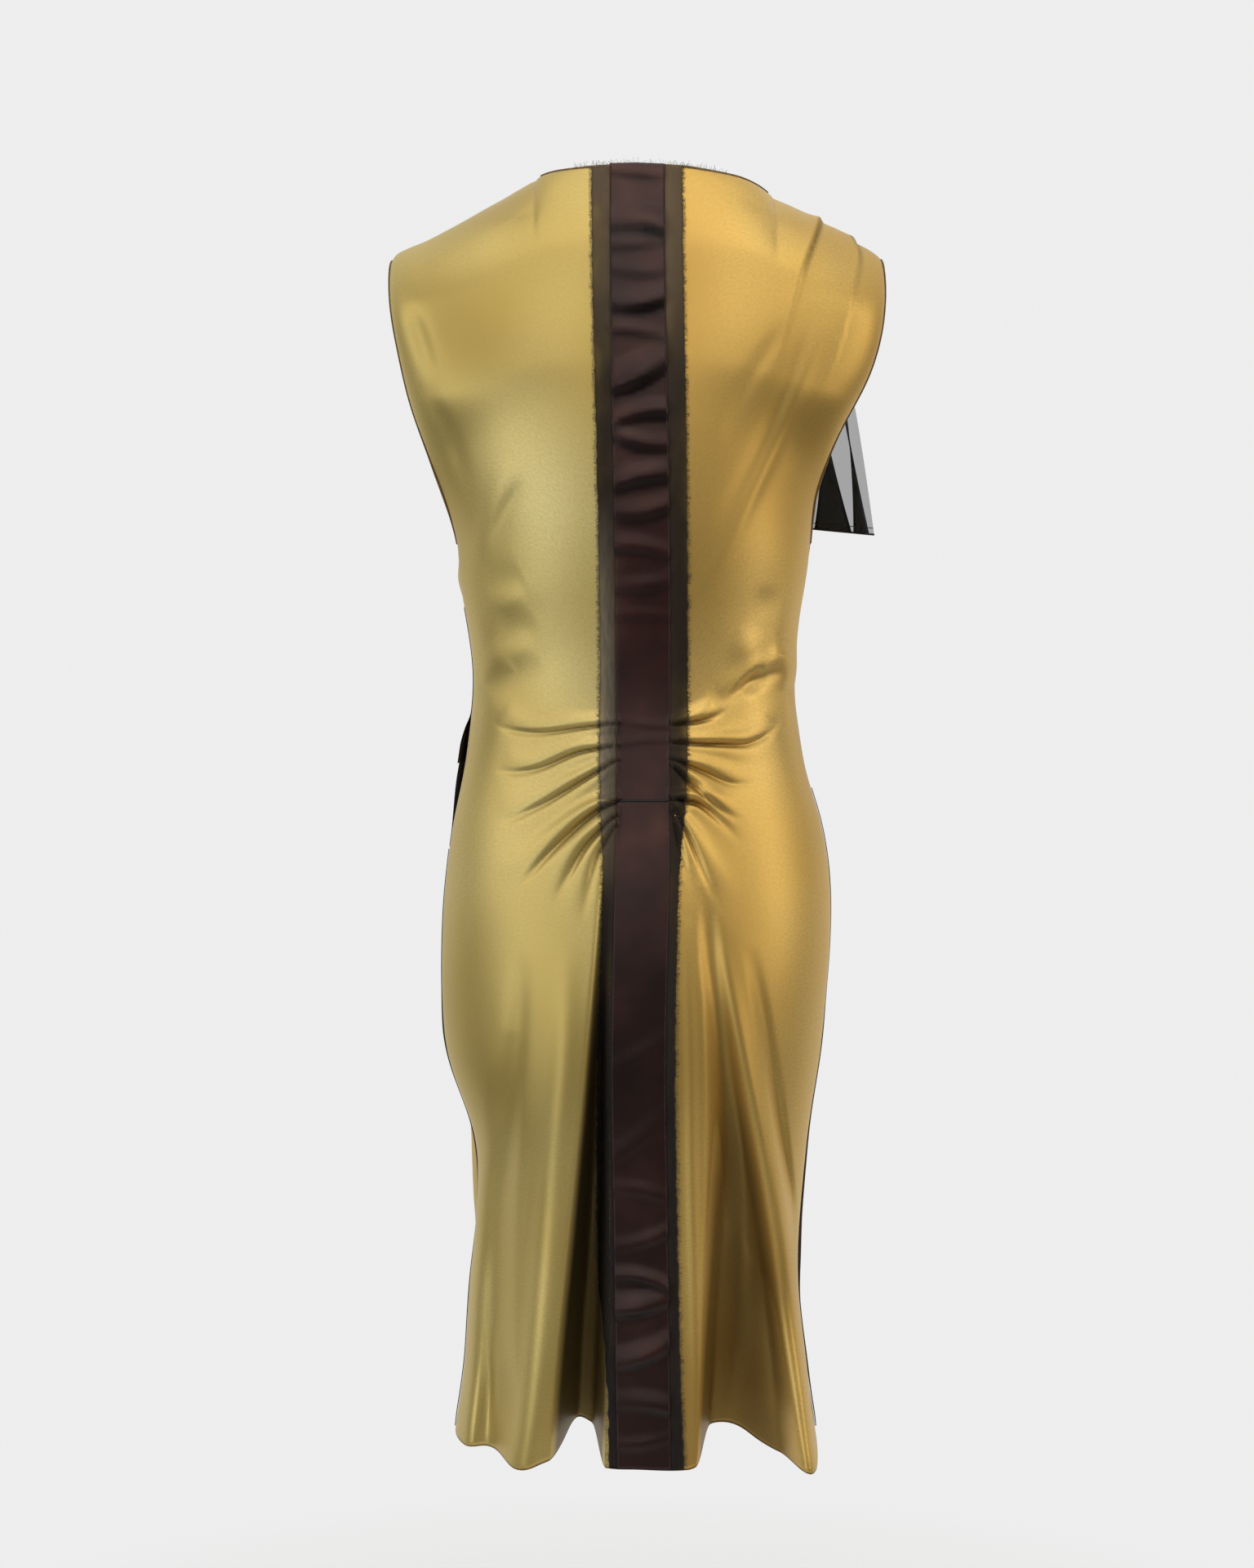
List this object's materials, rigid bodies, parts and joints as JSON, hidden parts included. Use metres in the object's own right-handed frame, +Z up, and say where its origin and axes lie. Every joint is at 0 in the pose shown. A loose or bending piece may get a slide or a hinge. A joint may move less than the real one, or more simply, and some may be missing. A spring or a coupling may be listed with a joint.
{
  "type": "sleeveless satin dress",
  "caption": "Knee-length sleeveless gold satin dress, open at neck, armholes and hem, with a ribbon over a raw-edged sheer strip down the centre back and gathers below the waist.",
  "frame": {"origin": "between the two shoulders, midway across the dress, on the line of the shoulder seams and 26 mm below the top of the neck at the back", "axes": "+Z up along the wearer's spine, +Y out of the wearer's back, +X to the wearer's left"},
  "size_m": [0.3788, 0.2501, 0.9895],
  "materials": {
    "satin_left": "satin, green gold",
    "satin_right": "satin, warm gold",
    "satin_front": "satin, gold",
    "sheer_strip": "sheer plain weave, raw edges",
    "ribbon": "dull satin ribbon",
    "binding": "narrow rolled binding",
    "edging": "narrow dark edging",
    "sheer_underlay": "dark sheer weave",
    "band": "dull satin ribbon",
    "sheer_black": "black sheer weave"
  },
  "bodies": {
    "root": {"back_left": "satin_left", "back_right": "satin_right", "front": "satin_front", "strip_lower": "sheer_strip", "strip_upper": "sheer_strip", "ribbon_lower": "ribbon", "ribbon_upper": "ribbon", "neck_binding": "binding", "armhole_binding_left": "binding", "armhole_binding_right": "binding", "side_edging_left": "edging", "side_edging_right": "edging", "band_underlay": "sheer_underlay", "waist_band": "band", "flounce": "sheer_black"}
  },
  "joints": []
}
